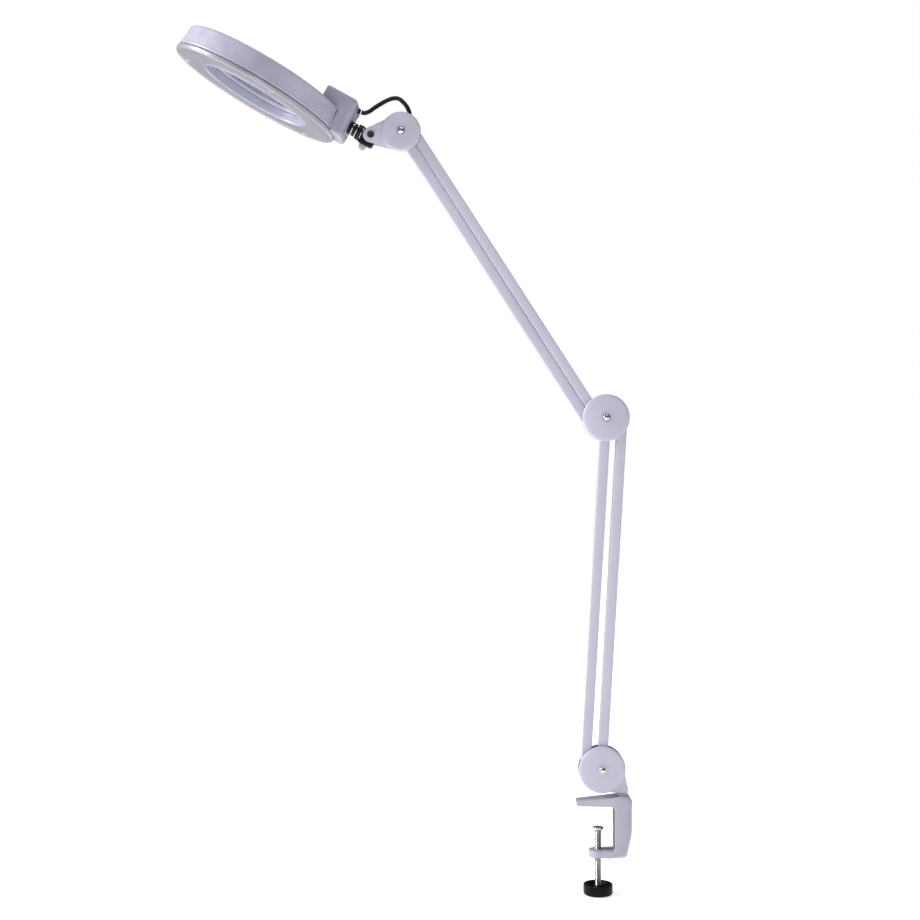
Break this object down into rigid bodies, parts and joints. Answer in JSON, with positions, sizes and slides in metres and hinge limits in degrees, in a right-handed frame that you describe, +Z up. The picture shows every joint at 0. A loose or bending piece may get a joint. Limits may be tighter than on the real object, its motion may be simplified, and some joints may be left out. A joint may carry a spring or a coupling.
{
  "type": "magnifying lamp",
  "caption": "Clamp-on magnifying lamp: a bench clamp, two parallel-bar arms with round pivot covers, and a ring head round a lens.",
  "frame": {"origin": "underside of the clamp's upper jaw, on the clamp screw's axis", "axes": "+Z up along the clamp screw, +X from the jaw's tip towards the clamp's web; the arms move in the XZ plane"},
  "size_m": [0.5619, 0.22, 1.0679],
  "materials": {
    "painted_steel": "satin powder coat",
    "cast_paint": "satin powder coat on a casting",
    "moulded_shell": "fine moulded texture",
    "chrome": "polished",
    "zinc_steel": "bright zinc",
    "black_plastic": "moulded black",
    "pale_plastic": "moulded pale",
    "lead_rubber": "matt",
    "frosted_diffuser": "frosted",
    "lens_glass": "polished",
    "circuit_board": "solder resist"
  },
  "bodies": {
    "clamp": {"clamp_frame": "cast_paint", "post_bush": "black_plastic"},
    "pad": {"pressure_pad": "chrome"},
    "screw": {"clamp_screw": "zinc_steel", "clamp_knob": "black_plastic"},
    "base": {"base_bracket": "painted_steel", "base_post": "painted_steel", "base_cover_front": "painted_steel", "base_cover_rear": "painted_steel", "base_bolt": "chrome", "base_nut": "chrome", "base_pin": "zinc_steel"},
    "lower_bar_left": {"lower_bar_left": "painted_steel", "lower_spring_left": "zinc_steel"},
    "lower_bar_right": {"lower_bar_right": "painted_steel", "lower_spring_right": "zinc_steel"},
    "elbow": {"elbow_plate_front": "painted_steel", "elbow_plate_rear": "painted_steel", "elbow_cover_front": "painted_steel", "elbow_cover_rear": "painted_steel", "elbow_bolt": "chrome", "elbow_nut": "chrome", "elbow_pin_lower": "zinc_steel", "elbow_pin_upper_left": "zinc_steel", "elbow_pin_upper_right": "zinc_steel"},
    "upper_bar_left": {"upper_bar_left": "painted_steel", "upper_spring_left": "zinc_steel"},
    "upper_bar_right": {"upper_bar_right": "painted_steel", "upper_spring_right": "zinc_steel"},
    "head_bracket": {"yoke_plate_front": "painted_steel", "yoke_plate_rear": "painted_steel", "head_cover_front": "painted_steel", "head_cover_rear": "painted_steel", "head_bolt": "chrome", "head_nut": "chrome", "head_pin": "zinc_steel", "tilt_bolt": "black_plastic", "tilt_nut": "zinc_steel", "lead_clip": "black_plastic", "lead_arm_side": "lead_rubber"},
    "swivel_block": {"swivel_block": "black_plastic", "swivel_washer": "chrome"},
    "thumb_knob": {"thumb_knob": "pale_plastic"},
    "head": {"swivel_spindle": "black_plastic", "spindle_nut": "zinc_steel", "head_housing": "moulded_shell", "box_cover": "moulded_shell", "box_screw_1": "zinc_steel", "box_screw_2": "zinc_steel", "box_screw_3": "zinc_steel", "box_screw_4": "zinc_steel", "diffuser": "frosted_diffuser", "lens": "lens_glass", "lens_ring": "moulded_shell", "led_board": "circuit_board", "driver_board": "circuit_board", "lead_gland": "black_plastic", "lead_head_side": "lead_rubber"},
    "rocker_switch": {"rocker_switch": "black_plastic"}
  },
  "joints": [
    {"name": "pad_slide", "type": "slide", "parent": "clamp", "child": "pad", "axis": [0, 0, 1], "range_m": [-0.0216, 0.0266]},
    {"name": "screw_turn", "type": "hinge", "parent": "pad", "child": "screw", "pos_m": [0, 0, -0.0292], "axis": [0, 0, 1], "range_deg": [-6190, 7630]},
    {"name": "base_swivel", "type": "hinge", "parent": "clamp", "child": "base", "pos_m": [0.0302, 0, 0.0154], "axis": [0, 0, 1], "continuous": true},
    {"name": "lower_arm", "type": "hinge", "parent": "base", "child": "lower_bar_left", "pos_m": [-0.0157, 0, 0.0452], "axis": [0, 1, 0], "range_deg": [-33, 31]},
    {"name": "elbow_level", "type": "hinge", "parent": "lower_bar_left", "child": "elbow", "pos_m": [0.00961, 0, 0.48016], "axis": [0, 1, 0], "range_deg": [-31.5, 33.5]},
    {"name": "lower_arm_right", "type": "hinge", "parent": "base", "child": "lower_bar_right", "pos_m": [0.0046, 0, 0.0452], "axis": [0, 1, 0], "range_deg": [-33.5, 31.5]},
    {"name": "upper_arm", "type": "hinge", "parent": "elbow", "child": "upper_bar_left", "pos_m": [-0.01459, 0, 0.47796], "axis": [0, 1, 0], "range_deg": [-72, 3]},
    {"name": "head_level", "type": "hinge", "parent": "upper_bar_left", "child": "head_bracket", "pos_m": [-0.24402, 0, 0.8337], "axis": [0, 1, 0], "range_deg": [-3.5, 72.5]},
    {"name": "upper_arm_right", "type": "hinge", "parent": "elbow", "child": "upper_bar_right", "pos_m": [-0.00899, 0, 0.49396], "axis": [0, 1, 0], "range_deg": [-72.5, 3.5]},
    {"name": "head_tilt", "type": "hinge", "parent": "head_bracket", "child": "swivel_block", "pos_m": [-0.28152, 0, 0.83], "axis": [0, 1, 0], "range_deg": [-85, 20], "deforming": ["lead_arm_side"]},
    {"name": "head_swivel", "type": "hinge", "parent": "swivel_block", "child": "head", "pos_m": [-0.28331, 0, 0.82676], "axis": [0.8746, 0, -0.4848], "range_deg": [-90, 90], "deforming": ["lead_head_side"]},
    {"name": "thumb_turn", "type": "hinge", "parent": "swivel_block", "child": "thumb_knob", "pos_m": [-0.28414, 0, 0.83145], "axis": [0.4848, 0, 0.8746], "range_deg": [-180, 180]},
    {"name": "switch_rock", "type": "hinge", "parent": "head", "child": "rocker_switch", "pos_m": [-0.31439, 0, 0.87714], "axis": [0, 1, 0], "range_deg": [-6, 6]}
  ],
  "couplings": [
    {"joint": "pad_slide", "follows": "screw_turn", "m_per_rad": 0.00019894},
    {"joint": "elbow_level", "follows": "lower_arm", "ratio": -1},
    {"joint": "lower_arm_right", "follows": "lower_arm", "ratio": 1},
    {"joint": "head_level", "follows": "upper_arm", "ratio": -1},
    {"joint": "upper_arm_right", "follows": "upper_arm", "ratio": 1}
  ]
}
